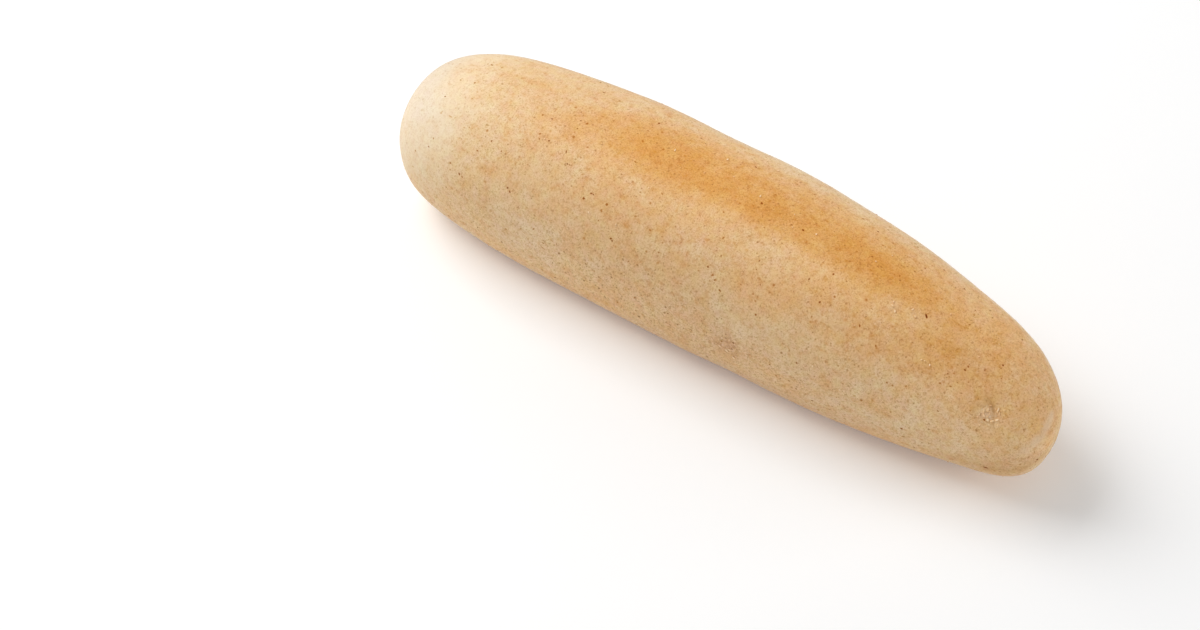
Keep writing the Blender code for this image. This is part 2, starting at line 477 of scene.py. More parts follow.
# The finest relief: size of its ridges and of the folds between them, how much painted shade darkens the
# colour in its dips, the height below which it does, the most that painted light lightens its tops,
# and its bump.
RIDGE_SIZE = 0.48 * MM
RIDGE_ROUGHNESS = 0.62
RIDGE_WINDING = 1.3
SKIN_FOLD_SIZE = 0.5 * MM
SKIN_FOLD_WINDING = 0.8
SKIN_FOLD_DEPTH = 1.6
DIP_PAINTED_SHADE = 0.68
DIPS_BELOW = 0.35
TOP_PAINTED_LIGHT = 0.06
BUMP_STRENGTH = 0.38
BUMP_DISTANCE = 0.12 * MM

# Torn skin: its creases, how much painted shade darkens them, and its flakes, which are a noise's peaks.
CREASE_SIZE = 1.2 * MM
CREASE_WINDING = 0.8
CREASE_WIDTH = 0.12
CREASE_SHADE = 0.36
TORN_FLAKE_SIZE = 0.7 * MM
TORN_FLAKE_PEAKS = (0.56, 0.66)
TORN_ROUGHNESS = 0.6

# How much of the dough each mark covers.
TORN_FLAKES_COVER = 0.75
FLAKY_COVERS = 0.55
GROOVE_SHADE_COVERS = 0.70
PINK_COVERS = 0.50

# How softly a chip's own colour fades to its edge, and the most that a flake covers.
CHIP_FADES = 0.55
FLAKE_COVERS = 0.95

# Gloss: toasted skin is a little smoother than pale skin, and chips are drier.
SKIN_ROUGHNESS = (0.80, 0.66)
CHIP_ROUGHNESS = 0.85
DOUGH_IOR = 1.40
BRAN_IOR = 1.25

# The dry bloom of flour that lightens the skin where it is seen edge on.
BLOOM = 1.0
BLOOM_SPREAD = 0.12

# The studio: soft square lights with their heading from the camera's and height in degrees, distance, size
# and power, in a white room with a pale, faintly glowing floor.
LIGHTS = (
    ("key", 238.0, 45.0, 0.9, 0.7, 7.1),
    ("low_fill", 90.0, 12.0, 0.9, 0.5, 2.4),
)
WHITE = (1.0, 1.0, 1.0, 1.0)
ROOM_BRIGHTNESS = 0.39
FLOOR_WHITE = (0.90, 0.90, 0.90, 1.0)
FLOOR_ROUGHNESS = 0.9
FLOOR_GLOW = 0.15
FLOOR_SIZE = 6.0


# ---------------------------------------------------------------- places on the stick

class Stick:
    """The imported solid, read for places on its skin."""

    def __init__(self, node):
        corners = [vert.co.copy() for vert in node.data.vertices]
        self.surface = BVHTree.FromPolygons(corners, [tuple(face.vertices) for face in node.data.polygons])
        spread = np.array(corners)
        blunt = spread[spread[:, 0].argmin()]
        tapered = spread[spread[:, 0].argmax()]
        waist = spread[np.abs(spread[:, 0]) < WAIST_SLICE][:, 1]
        self.blunt_x = blunt[0]
        self.tapered_x = tapered[0]
        self.belt = (blunt[2] + tapered[2]) / 2.0
        middle = (waist.min() + waist.max()) / 2.0
        self.bow = np.polyfit((blunt[0], 0.0, tapered[0]), (blunt[1], middle, tapered[1]), 2)

    def spine(self, x):
        """The point of the bowed spine at a distance along X."""
        return Vector((x, float(np.polyval(self.bow, x)), self.belt))

    def cast(self, start, heading):
        """Where a ray from inside the stick meets its skin."""
        place, _, _, _ = self.surface.ray_cast(start, heading)
        return place

    def skin_place(self, x, angle):
        """The skin's point at a distance along X and an angle round the spine."""
        turn = math.radians(angle)
        return self.cast(self.spine(x), Vector((0.0, math.cos(turn), math.sin(turn))))

    def tip_to_tip(self, share, angle):
        """The skin's point at a share of the way from the blunt tip on. The rays fan out at both tips."""
        quarter = TIP_FAN * math.pi / 2.0
        straight = self.tapered_x - self.blunt_x - 2.0 * TIP_FAN
        reach = share * (straight + 2.0 * quarter)
        along = min(max(reach - quarter, 0.0), straight)
        past_straight = reach - quarter - along
        lean = past_straight / quarter * math.pi / 2.0
        around = Vector((0.0, math.cos(angle), math.sin(angle)))
        heading = around * math.cos(lean) + Vector((1.0, 0.0, 0.0)) * math.sin(lean)
        return self.cast(self.spine(self.blunt_x + TIP_FAN + along), heading)

    def angles(self, points):
        """The angle round the spine of each of many points, in degrees."""
        across = points[:, 1] - np.polyval(self.bow, points[:, 0])
        return np.degrees(np.arctan2(points[:, 2] - self.belt, across)) % TURN


def bell(distance, reach):
    """1 at no distance, falling away smoothly over the reach."""
    return np.exp(-(distance / reach) ** 2)


def ease(values, start, end):
    """0 before start, 1 after end, and a smooth rise between them."""
    share = np.clip((values - start) / (end - start), 0.0, 1.0)
    return share * share * (3.0 - 2.0 * share)


def between(angles, heading):
    """Smallest angle from each angle to a heading, in degrees."""
    return np.abs((angles - heading + TURN / 2.0) % TURN - TURN / 2.0)


def cloud(points, size, shift):
    """Soft noise from -1 to 1 at each point, with features of the given size."""
    start = Vector((shift, shift * SHIFT_IN_Y, -shift))
    return np.array([noise.noise(Vector(point) / size + start) for point in points])


def uneven(points, size, shift, middle, strength):
    """A share from 0 to 1 that varies about its middle from place to place."""
    return np.clip(middle + strength * cloud(points, size, shift), 0.0, 1.0)


# ---------------------------------------------------------------- how the stick baked

def patches(points, angles, given):
    """The sum of soft patches at each point."""
    total = np.zeros(len(points))
    for place, heading, reach_along, reach_round, strength in given:
        along = bell(points[:, 0] - place * MM, reach_along * MM)
        total += strength * (along * bell(between(angles, heading), reach_round))
    return total


def baked_heat(points, angles):
    """How deeply the skin baked at each point."""
    x = points[:, 0]
    heat = FLANK_HEAT - BLUNT_END_PALE_AND_HIGHLIGHT * (1.0 - ease(x, *BLUNT_END_FROM_TO))
    middle = BAND_ANGLE + BAND_DRIFT * x
    to_front = (angles - middle + TURN / 2.0) % TURN > TURN / 2.0
    away = between(angles, middle) / np.where(to_front, BAND_REACH_FRONT, BAND_REACH_BACK)
    band = ease(x, *BAND_RISE) * (1.0 - ease(x, *BAND_FALL))
    heat += BAND_HEAT * band * np.exp(-away ** BAND_SHARPNESS)
    heat += patches(points, angles, BAKED_PATCHES)
    heat += WARM_FOOT_HEAT * (1.0 - ease(points[:, 2], *WARM_FOOT))
    return heat


def store_baking(mesh, points, angles):
    """Keep how each point baked, and the light and shade painted on it, for the material to read."""
    store(mesh, "baked", baked_heat(points, angles))
    # Patches of painted shade and painted light, darker or lighter where the lamps fall unevenly.
    store(mesh, "painted_light_and_shade", patches(points, angles, PAINTED_LIGHT_AND_SHADE_PATCHES))
    # Flour dust, and on the blunt tip a painted highlight.
    store(mesh, "flour_and_highlight", patches(points, angles, FLOUR_AND_HIGHLIGHT_PATCHES))
    store(mesh, "browned", 1.0 - ease(points[:, 2], *BROWNED_FOOT))


# ---------------------------------------------------------------- the skin's mesh

def skin_cage(stick):
    """The skin as a coarse mesh on the solid: a tip, rings of corners along the stick, and the other tip."""
    bm = bmesh.new()
    wrap = bm.loops.layers.uv.new("OFBake")
    turns = [math.tau * side / SKIN_SIDES for side in range(SKIN_SIDES)]
    shares = [ring / SKIN_RINGS for ring in range(1, SKIN_RINGS)]
    rings = [[bm.verts.new(stick.tip_to_tip(share, turn)) for turn in turns] for share in shares]
    blunt_tip = bm.verts.new(stick.tip_to_tip(0.0, 0.0))
    tapered_tip = bm.verts.new(stick.tip_to_tip(1.0, 0.0))
    rings = [[blunt_tip] * SKIN_SIDES] + rings + [[tapered_tip] * SKIN_SIDES]
    for ring in range(SKIN_RINGS):
        for side in range(SKIN_SIDES):
            lay_face(bm, wrap, rings, ring, side)
    mesh = bpy.data.meshes.new("crust_cage")
    bm.to_mesh(mesh)
    bm.free()
    return mesh


def lay_face(bm, wrap, rings, ring, side):
    """One face of the cage, laid on the flat map: the share from tip to tip by the share of a turn."""
    corners = [(ring, side), (ring, side + 1), (ring + 1, side + 1), (ring + 1, side)]
    # At a tip, two of its corners are one.
    if ring == 0:
        corners.pop(1)
    if ring == SKIN_RINGS - 1:
        corners.pop(2)
    face = bm.faces.new([rings[along][round_it % SKIN_SIDES] for along, round_it in corners])
    for loop, (along, round_it) in zip(face.loops, corners):
        place = side + 0.5 if along in (0, SKIN_RINGS) else round_it
        loop[wrap].uv = (along / SKIN_RINGS, place / SKIN_SIDES)


def add_piece(name, data):
    """A new object, in the scene."""
    piece = bpy.data.objects.new(name, data)
    bpy.context.scene.collection.objects.link(piece)
    return piece


def smoothed(mesh, halvings):
    """The mesh after Subdivision Surface, as a mesh of its own."""
    piece = add_piece("smoothing", mesh)
    rounding = piece.modifiers.new("rounding", "SUBSURF")
    rounding.levels = halvings
    rounding.render_levels = halvings
    rounding.uv_smooth = "NONE"
    bpy.context.view_layer.update()
    evaluated = piece.evaluated_get(bpy.context.evaluated_depsgraph_get())
    fine = bpy.data.meshes.new_from_object(evaluated)
    bpy.data.objects.remove(piece)
    return fine


def rows_of(things, name):
    """The three numbers that each vertex, or each normal, has under a name."""
    values = np.empty(len(things) * 3)
    things.foreach_get(name, values)
    return values.reshape(-1, 3)


def inside_box(points):
    """The points, with none of them outside the solid's box."""
    return np.clip(points, cad_box[0], cad_box[1])


def store(mesh, name, values):
    """Keep one number for each vertex, for the material to read."""
    attribute = mesh.attributes.new(name, "FLOAT", "POINT")
    attribute.data.foreach_set("value", values.astype(np.float32))


def wave_depth(points):
    depth = np.zeros(len(points))
    for index, (size, height) in enumerate(SKIN_WAVES):
        depth += height * (0.5 + 0.5 * cloud(points, size, WAVE_SHIFT * index))
    return depth


def pore_depth(points, rng):
    depth = np.zeros(len(points))
    for middle in rng.choice(len(points), PORES, replace=False):
        width = rng.uniform(*PORE_WIDTH)
        near = np.linalg.norm(points - points[middle], axis=1)
        depth += rng.uniform(*PORE_DEPTH) * bell(near, width)
    return depth


def over_skin(points, angles, stick, x, angle):
    """Distances along the stick and round it from a place on the skin, and where the points are near it."""
    middle = np.array(stick.skin_place(x, angle))
    radius = math.hypot(middle[1] - np.polyval(stick.bow, x), middle[2] - stick.belt)
    near = np.linalg.norm(points - middle, axis=1) < MARK_REACH
    return points[:, 0] - middle[0], np.radians(angles - angle) * radius, near


def blister_relief(points, angles, stick):
    """Depth of the broken blister's groove, less its ragged skin, and the share of each."""
    along, round_it, near = over_skin(points, angles, stick, BLISTER_X, BLISTER_ANGLE)
    turn = math.radians(BLISTER_TURN)
    lengthways = along * math.cos(turn) + round_it * math.sin(turn)
    bend = BLISTER_BEND * (lengthways / BLISTER_LENGTH) ** 2
    sideways = round_it * math.cos(turn) - along * math.sin(turn) - bend
    sideways = sideways + BLISTER_WANDER * cloud(points, *BLISTER_NOISE)
    groove = bell(np.hypot(lengthways / BLISTER_LENGTH, sideways / BLISTER_WIDTH), 1.0) * near
    along, round_it, near = over_skin(points, angles, stick, RAGGED_X, RAGGED_ANGLE)
    ragged = bell(np.hypot(along, round_it), RAGGED_REACH) * near
    height = RAGGED_HEIGHT * ragged * uneven(points, *RAGGED_UNEVEN)
    return BLISTER_DEPTH * groove - height, groove, ragged


def tip_fold(points):
    """Depth of the fold over the tapered tip, and its share."""
    above = np.hypot(points[:, 1], points[:, 2]) - FOLD_RADIUS
    reach = ease(points[:, 1], *FOLD_FADES_IN) * (1.0 - ease(points[:, 1], *FOLD_FADES_OUT))
    reach = reach * (points[:, 0] > FOLD_FROM_X)
    fold = bell(above, FOLD_WIDTH) * reach * uneven(points, *FOLD_UNEVEN)
    groove = bell(above + FOLD_GROOVE_AWAY, FOLD_GROOVE_WIDTH) * reach
    return FOLD_GROOVE_DEPTH * groove - FOLD_HEIGHT * fold, fold


def low_blisters(points, stick):
    """Depth of the low blisters, which is less than none, and their share."""
    depth = np.zeros(len(points))
    share = np.zeros(len(points))
    roughened = uneven(points, *LOW_UNEVEN)
    for x, angle, reach, height in LOW_BLISTERS:
        middle = np.array(stick.skin_place(x, angle))
        blister = bell(np.linalg.norm(points - middle, axis=1), reach) * roughened
        depth -= height * blister
        share += blister
    return depth, share


def wrinkle_relief(points, stick):
    """Depth of the wrinkled patch on the front, and its share."""
    middle = np.array(stick.skin_place(WRINKLE_X, WRINKLE_ANGLE))
    patch = bell(np.linalg.norm(points - middle, axis=1), WRINKLE_REACH)
    ridges = np.abs(cloud(points * np.array(WRINKLE_DRAWN), WRINKLE_SPACING, WRINKLE_SHIFT))
    return WRINKLE_DEPTH * patch * (1.0 - np.clip(WRINKLE_SHARPNESS * ridges, 0.0, 1.0)), patch


def make_crust(stick, material):
    """The baked skin, with its relief in the mesh and its masks as numbers on the vertices."""
    rng = np.random.default_rng(SEED)
    mesh = smoothed(skin_cage(stick), SKIN_HALVINGS)
    mesh.name = "crust"
    points = rows_of(mesh.vertices, "co")
    normals = rows_of(mesh.vertex_normals, "vector")
    angles = stick.angles(points)
    blister_depth, groove_shade, ragged = blister_relief(points, angles, stick)
    fold_depth, fold = tip_fold(points)
    low_depth, low = low_blisters(points, stick)
    wrinkle_depth, wrinkled = wrinkle_relief(points, stick)
    depth = wave_depth(points) + pore_depth(points, rng)
    depth += blister_depth + fold_depth + low_depth + wrinkle_depth
    sunk = inside_box(points - normals * depth[:, None])
    mesh.vertices.foreach_set("co", sunk.ravel())
    mesh.update()
    mesh.shade_smooth()
    store_baking(mesh, sunk, angles)
    store(mesh, "coarse", patches(sunk, angles, COARSE_PATCHES))
    # The blister's groove is painted darker brown, as painted shade in it.
    store(mesh, "groove_shade", groove_shade)
    store(mesh, "flaky", np.clip(FLAKY_RAGGED * ragged + FLAKY_FOLD * fold + FLAKY_LOW * low, 0.0, 1.0))
    store(mesh, "torn", np.clip(TORN_RAGGED * ragged + TORN_WRINKLED * wrinkled, 0.0, 1.0))
    store(mesh, "wrinkled", wrinkled)
    mesh.materials.clear()
    mesh.materials.append(material)
    return add_piece("crust", mesh)


# ---------------------------------------------------------------- flecks and flakes in the skin

class Chips:
    """Thin, uneven chips that lie flush in the skin, gathered into one mesh."""

    def __init__(self, crust, rise, peel):
        self.surface = BVHTree.FromObject(crust, bpy.context.evaluated_depsgraph_get())
        self.bm = bmesh.new()
        self.rise = rise
        self.peel = peel
        self.strengths = []
        self.insides = []

    def lay(self, middle, heading, length, width, strength, rng):
        """One chip: a low dome over a ring on the skin, closed below. It peels up at its +X side."""
        middle, normal, _, _ = self.surface.find_nearest(middle)
        side = normal.cross(heading).normalized()
        heading = side.cross(normal).normalized()
        peel = self.peel * rng.uniform(*PEEL_UNEVEN)
        ring = []
        for corner in range(CHIP_CORNERS):
            turn = math.tau * corner / CHIP_CORNERS
            reach = 1.0 + rng.uniform(*CHIP_UNEVEN)
            spot = middle + heading * (math.cos(turn) * length * reach / 2.0)
            spot += side * (math.sin(turn) * width * reach / 2.0)
            place, face_normal, _, _ = self.surface.find_nearest(spot)
            lift = 0.5 + 0.5 * min(max((place.x - middle.x) / (length / 2.0), -1.0), 1.0)
            ring.append(self.bm.verts.new(place + face_normal * (CHIP_EDGE + peel * lift)))
        top = self.bm.verts.new(middle + normal * (self.rise + 0.5 * peel))
        bottom = self.bm.verts.new(middle - normal * CHIP_ROOT)
        for first, second in zip(ring, ring[1:] + ring[:1]):
            self.bm.faces.new((first, second, top))
            self.bm.faces.new((second, first, bottom))
        self.strengths += [strength] * (CHIP_CORNERS + 2)
        self.insides += [0.0] * CHIP_CORNERS + [1.0, 1.0]

    def finish(self, name, stick, material):
        """The chips as one piece, with their baking and strength on the vertices."""
        mesh = bpy.data.meshes.new(name)
        self.bm.to_mesh(mesh)
        self.bm.free()
        points = inside_box(rows_of(mesh.vertices, "co"))
        mesh.vertices.foreach_set("co", points.ravel())
        store_baking(mesh, points, stick.angles(points))
        store(mesh, "strength", np.array(self.strengths))
        store(mesh, "inside", np.array(self.insides))
        mesh.materials.append(material)
        return add_piece(name, mesh)


def lay_placed(chips, stick, placed, rng):
    """The chips whose places are known."""
    for x, angle, length, width, turn, strength in placed:
        round_it = math.radians(angle + QUARTER_TURN)
        to_front = Vector((0.0, math.cos(round_it), math.sin(round_it)))
        along = Vector((1.0, 0.0, 0.0))
        heading = along * math.cos(math.radians(turn)) + to_front * math.sin(math.radians(turn))
        chips.lay(stick.skin_place(x * MM, angle), heading, length * MM, width * MM, strength, rng)


def scatter(crust, count, rng):
    """Seeded places spread evenly over the skin's area."""
    mesh = crust.data
    areas = np.empty(len(mesh.polygons))
    mesh.polygons.foreach_get("area", areas)
    picks = rng.choice(len(areas), count, p=areas / areas.sum())
    return [mesh.polygons[pick].center.copy() for pick in picks]


def random_heading(rng):
    """Any heading, more often along the stick than across it, as rolling leaves them."""
    heading = Vector(rng.normal(size=3))
    heading.x *= ROLLED_ALONG
    return heading


def make_bran_flecks(stick, crust, material):
    """The bran: the larger flecks in their places, and small ones in loose clusters, clear of the blister."""
    rng = np.random.default_rng(SEED + 1)
    chips = Chips(crust, FLECK_RISE, 0.0)
    lay_placed(chips, stick, LARGE_FLECKS, rng)
    blister = stick.skin_place(BLISTER_X, BLISTER_ANGLE)
    middles = scatter(crust, BRAN_FLECKS, rng)
    places = np.array(middles)
    heat = baked_heat(places, stick.angles(places))
    contrasts = LEAST_GRAIN + (1.0 - LEAST_GRAIN) * ease(heat, *GRAIN_GROWS)
    darker_shares = DARKER_SHARE * (1.0 - DARKER_SHARE_LOST * ease(heat, *DARKER_SHARE_FALLS))
    for index, middle in enumerate(middles):
        rng = np.random.default_rng((SEED, index))
        clustering = sum(noise.noise(middle / size) for size in FLECK_CLUSTERS)
        crowding = FLECK_CROWDING + FLECK_CLUSTERING * clustering
        if rng.random() > crowding or (middle - blister).length < CLEAR_SKIN:
            continue
        darkness = FLECK_DARKNESS + rng.gamma(*FLECK_DARKNESS_GAMMA)
        if rng.random() < darker_shares[index]:
            darkness += DARKER_BY + rng.exponential(DARKER_SPREAD)
        darkness *= DARKNESS_LEFT + (1.0 - DARKNESS_LEFT) * contrasts[index]
        length = FLECK_LENGTH[0] + (FLECK_LENGTH[1] - FLECK_LENGTH[0]) * rng.beta(*FLECK_LENGTH_BETA)
        width = length * rng.uniform(*FLECK_SLIMNESS)
        chips.lay(middle, random_heading(rng), length, width, min(darkness, DARKEST_FLECK), rng)
    return chips.finish("bran_flecks", stick, material)


def make_dough_flakes(stick, crust, material):
    """Dry flakes: the larger ones in their places, small ones anywhere, and some by the broken blister."""
    rng = np.random.default_rng(SEED + 2)
    chips = Chips(crust, FLAKE_RISE, FLAKE_PEEL)
    lay_placed(chips, stick, PALE_FLAKES, rng)
    torn = stick.skin_place(RAGGED_X, RAGGED_ANGLE)
    spread = RAGGED_REACH * RAGGED_FLAKES_SPREAD
    ragged = [torn + Vector(rng.normal(size=3)) * spread for _ in range(RAGGED_FLAKES)]
    for middle in scatter(crust, SMALL_FLAKES, rng) + ragged:
        length = rng.uniform(*FLAKE_LENGTH)
        width = length * rng.uniform(*FLAKE_SLIMNESS)
        chips.lay(middle, random_heading(rng), length, width, rng.uniform(*FLAKE_PALENESS), rng)
    return chips.finish("dough_flakes", stick, material)


# ---------------------------------------------------------------- materials

COLOUR = "NodeSocketColor"
FLOAT = "NodeSocketFloat"

# A mix node's two colours going in, and the one coming out.
FIRST_COLOUR = 6
SECOND_COLOUR = 7
MIXED_COLOUR = 2


def put(tree, kind, inputs, **properties):
    """Add a node with its properties set, and its inputs set or linked."""
    node = tree.nodes.new(kind)
    for name, value in properties.items():
        setattr(node, name, value)
    for name, value in inputs.items():
        if isinstance(value, bpy.types.NodeSocket):
            tree.links.new(value, node.inputs[name])
        else:
            node.inputs[name].default_value = value
    return node.outputs


def maths(tree, operation, first, second=0.0, third=0.0):
    return put(tree, "ShaderNodeMath", {0: first, 1: second, 2: third}, operation=operation)[0]


def vectors(tree, operation, first, second):
    """Two vectors or colours, joined part by part."""
    return put(tree, "ShaderNodeVectorMath", {0: first, 1: second}, operation=operation)[0]


def blended(tree, share, first, second):
    """Two colours mixed by a share."""
    inputs = {"Factor": share, FIRST_COLOUR: first, SECOND_COLOUR: second}
    return put(tree, "ShaderNodeMix", inputs, data_type="RGBA")[MIXED_COLOUR]


def stretched(tree, value, low, high, to_low=0.0, to_high=1.0):
    """A value's range moved to another, clamped, with soft ends."""
    inputs = {"Value": value, "From Min": low, "From Max": high, "To Min": to_low, "To Max": to_high}
    return put(tree, "ShaderNodeMapRange", inputs, interpolation_type="SMOOTHSTEP")["Result"]


def speckle(tree, place, size, detail=2.0, roughness=0.5, winding=0.0):
    """Noise with features of about the given size."""
    inputs = {
        "Vector": place, "Scale": 1.0 / size, "Detail": detail, "Roughness": roughness, "Distortion": winding}
    return put(tree, "ShaderNodeTexNoise", inputs)["Fac"]


def off_middle(tree, noise_value, strength=1.0):
    """Noise moved to lie either side of 0."""
    return maths(tree, "MULTIPLY_ADD", noise_value, strength, -0.5 * strength)


def place_on_stick(tree):
    return put(tree, "ShaderNodeTexCoord", {})["Object"]


def number_on_skin(tree, name):
    return put(tree, "ShaderNodeAttribute", {}, attribute_name=name)["Fac"]


def grain_contrast(tree, heat):
    """How strongly the grain shows, for how deeply the dough baked."""
    return stretched(tree, heat, *GRAIN_GROWS, LEAST_GRAIN, 1.0)


def colour_steps(tree, place, steps):
    """A colour ramp through steps of a place and a colour."""
    ramp = tree.nodes.new("ShaderNodeValToRGB")
    tree.links.new(place, ramp.inputs["Fac"])
    stops = ramp.color_ramp.elements
    stops[0].position, stops[0].color = steps[0]
    stops[1].position, stops[1].color = steps[-1]
    for where, colour in steps[1:-1]:
        stops.new(where).color = colour
    return ramp.outputs["Color"]


def new_group(name, inputs, outputs):
    """A shader node group with named sockets, and its inner ends."""
    group = bpy.data.node_groups.new(name, "ShaderNodeTree")
    for socket, kind, value in inputs:
        made = group.interface.new_socket(socket, in_out="INPUT", socket_type=kind)
        made.default_value = value
    for socket, kind in outputs:
        group.interface.new_socket(socket, in_out="OUTPUT", socket_type=kind)
    return group, group.nodes.new("NodeGroupInput").outputs, group.nodes.new("NodeGroupOutput").inputs


def give(group, end, values):
    """Join what a group works out to its outputs."""
    for name, value in values.items():
        group.links.new(value, end[name])
    return group


def use_group(tree, group, inputs):
    return put(tree, "ShaderNodeGroup", inputs, node_tree=group)


def warm_shade_group():
    """A colour made darker or lighter the way that dough is: the darker, the redder."""
    group, given, end = new_group(
        "warm shade",
        (("Colour", COLOUR, PALE_DOUGH), ("Shade", FLOAT, 1.0), ("Redness", FLOAT, 1.0)),
        (("Colour", COLOUR),))
    shade = maths(group, "MAXIMUM", given["Shade"], 0.0)
    green, blue = (
        maths(group, "POWER", shade, maths(group, "MULTIPLY_ADD", given["Redness"], fading, 1.0))
        for fading in (GREEN_FADING, BLUE_FADING))
    shades = put(group, "ShaderNodeCombineXYZ", {"X": shade, "Y": green, "Z": blue})[0]
    return give(group, end, {"Colour": vectors(group, "MULTIPLY", given["Colour"], shades)})


def baked_dough_group(warm_shade):
    """The dough's colour by how deeply it baked, with blotches, mottles, ochre spots and a fine grain."""
    group, given, end = new_group(
        "baked dough",
        (("Heat", FLOAT, FLANK_HEAT), ("Painted_light_and_shade", FLOAT, 0.0), ("Flour_and_highlight", FLOAT, 0.0), ("Browned", FLOAT, 0.0)),
        (("Colour", COLOUR), ("Heat", FLOAT)))
    place = place_on_stick(group)
    blotch = off_middle(group, speckle(group, place, BLOTCH_SIZE))
    mottle = off_middle(group, speckle(group, place, MOTTLE_SIZE, detail=3.0))
    ochre = stretched(group, speckle(group, place, OCHRE_SIZE), *OCHRE_PEAKS)
    grain = off_middle(group, speckle(group, place, GRAIN_SIZE, detail=3.0, roughness=GRAIN_ROUGHNESS))

    heat = given["Heat"]
    grain_heat = stretched(group, heat, *GRAIN_HEAT_GROWS, *GRAIN_HEAT)
    contrast = grain_contrast(group, heat)
    kinds = ((blotch, BLOTCH_HEAT), (mottle, MOTTLE_HEAT), (ochre, OCHRE_HEAT), (grain, grain_heat))
    for kind, added in kinds:
        heat = maths(group, "MULTIPLY_ADD", kind, added, heat)
    colour = colour_steps(group, maths(group, "MULTIPLY_ADD", heat, RAMP_FACTOR, RAMP_START), BAKING_STEPS)
    browned = maths(group, "MULTIPLY_ADD", mottle, BROWNED_RAGGED, given["Browned"])
    colour = blended(group, stretched(group, browned, *BROWNED_EDGE), colour, BROWNED_DOUGH)
    colour = blended(group, given["Flour_and_highlight"], colour, FLOUR_AND_HIGHLIGHT_DOUGH)
    colour = vectors(group, "MULTIPLY", colour, tint_patches(group, place, contrast))

    darker = maths(group, "MULTIPLY_ADD", grain, GRAIN_SHADE, maths(group, "MULTIPLY", mottle, MOTTLE_SHADE))
    darker = maths(group, "MAXIMUM", darker, MOST_LIGHTENING)
    darker = maths(group, "MULTIPLY_ADD", ochre, OCHRE_SHADE, darker)
    # The painted light and shade patches darken or lighten the colour here, with the grain's own darkening.
    shade = maths(group, "SUBTRACT", 1.0, maths(group, "MULTIPLY_ADD", darker, contrast, given["Painted_light_and_shade"]))
    shaded = use_group(group, warm_shade, {"Colour": colour, "Shade": shade})
    return give(group, end, {"Colour": shaded["Colour"], "Heat": heat})


def tint_patches(tree, place, contrast):
    """What the colour is multiplied by to be a little greener or redder from patch to patch."""
    speckled = speckle(tree, place, TINT_SIZE, detail=1.0, roughness=TINT_ROUGHNESS)
    green = maths(tree, "MULTIPLY", off_middle(tree, speckled, TINT_GREEN), contrast)
    blue = maths(tree, "MULTIPLY_ADD", green, TINT_BLUE, 1.0)
    return put(tree, "ShaderNodeCombineXYZ", {"X": 1.0, "Y": maths(tree, "ADD", green, 1.0), "Z": blue})[0]


def bran_specks_group():
    """Small bran specks under the skin: where they show, and a number from 0 to 1 for each."""
    group, given, end = new_group(
        "bran specks",
        (("Spacing", FLOAT, DOT_SPACING), ("Radius", FLOAT, DOT_RADIUS)),
        (("Mask", FLOAT), ("Tint", FLOAT)))
    place = place_on_stick(group)
    wander = put(group, "ShaderNodeTexNoise", {"Vector": place, "Scale": 1.0 / SPECK_WANDER_SIZE})["Color"]
    wander = vectors(group, "SUBTRACT", wander, (0.5, 0.5, 0.5))
    wander = vectors(group, "MULTIPLY", wander, (SPECK_WANDER, SPECK_WANDER, SPECK_WANDER))
    place = vectors(group, "ADD", place, wander)
    scale = maths(group, "DIVIDE", 1.0, given["Spacing"])
    cells = put(group, "ShaderNodeTexVoronoi", {"Vector": place, "Scale": scale})
    numbers = put(group, "ShaderNodeSeparateColor", {"Color": cells["Color"]})
    size = stretched(group, numbers[0], 0.0, 1.0, SMALLEST_SPECK, 1.0)
    away = maths(group, "DIVIDE", cells["Distance"], maths(group, "MULTIPLY", given["Radius"], size))
    mask = stretched(group, away, SPECK_SOFT_FROM, 1.0, 1.0, 0.0)
    return give(group, end, {"Mask": mask, "Tint": numbers[1]})


def fine_skin_group():
    """The finest relief, as small wandering ridges: its height, and painted shade in dips, light on tops."""
    group, given, end = new_group(
        "fine skin", (("Dip_painted_shade", FLOAT, DIP_PAINTED_SHADE),), (("Height", FLOAT), ("Shade", FLOAT)))
    place = place_on_stick(group)
    ridges = speckle(group, place, RIDGE_SIZE, 3.0, RIDGE_ROUGHNESS, RIDGE_WINDING)
    folds = speckle(group, place, SKIN_FOLD_SIZE, detail=1.0, winding=SKIN_FOLD_WINDING)
    folds = maths(group, "ABSOLUTE", off_middle(group, folds, SKIN_FOLD_DEPTH))
    height = maths(group, "SUBTRACT", ridges, folds)
    shade = maths(group, "MULTIPLY", maths(group, "SUBTRACT", height, DIPS_BELOW), given["Dip_painted_shade"])
    return give(group, end, {"Height": height, "Shade": maths(group, "MINIMUM", shade, TOP_PAINTED_LIGHT)})


def torn_skin_group():
    """Skin that tore as it dried: thin creases, and small dry flakes between them."""
    group, given, end = new_group(
        "torn skin", (("Share", FLOAT, 0.0),), (("Crease", FLOAT), ("Flake", FLOAT)))
    place = place_on_stick(group)
    away = speckle(group, place, CREASE_SIZE, roughness=TORN_ROUGHNESS, winding=CREASE_WINDING)
    away = maths(group, "ABSOLUTE", off_middle(group, away))
    crease = stretched(group, away, 0.0, CREASE_WIDTH, 1.0, 0.0)
    flake = speckle(group, place, TORN_FLAKE_SIZE, roughness=TORN_ROUGHNESS)
    flake = stretched(group, flake, *TORN_FLAKE_PEAKS)
    crease = maths(group, "MULTIPLY", crease, given["Share"])
    flake = maths(group, "MULTIPLY", flake, given["Share"])
    return give(group, end, {"Crease": crease, "Flake": flake})


def new_material(name):
    material = bpy.data.materials.new(name)
    material.use_nodes = True
    return material, material.node_tree, material.node_tree.nodes["Principled BSDF"].inputs


def baked_skin(tree, dough):
    """The baked dough's outputs, from the numbers on the mesh."""
    numbers = {"Heat": "baked", "Painted_light_and_shade": "painted_light_and_shade", "Flour_and_highlight": "flour_and_highlight", "Browned": "browned"}
    return use_group(tree, dough, {name: number_on_skin(tree, stored) for name, stored in numbers.items()})


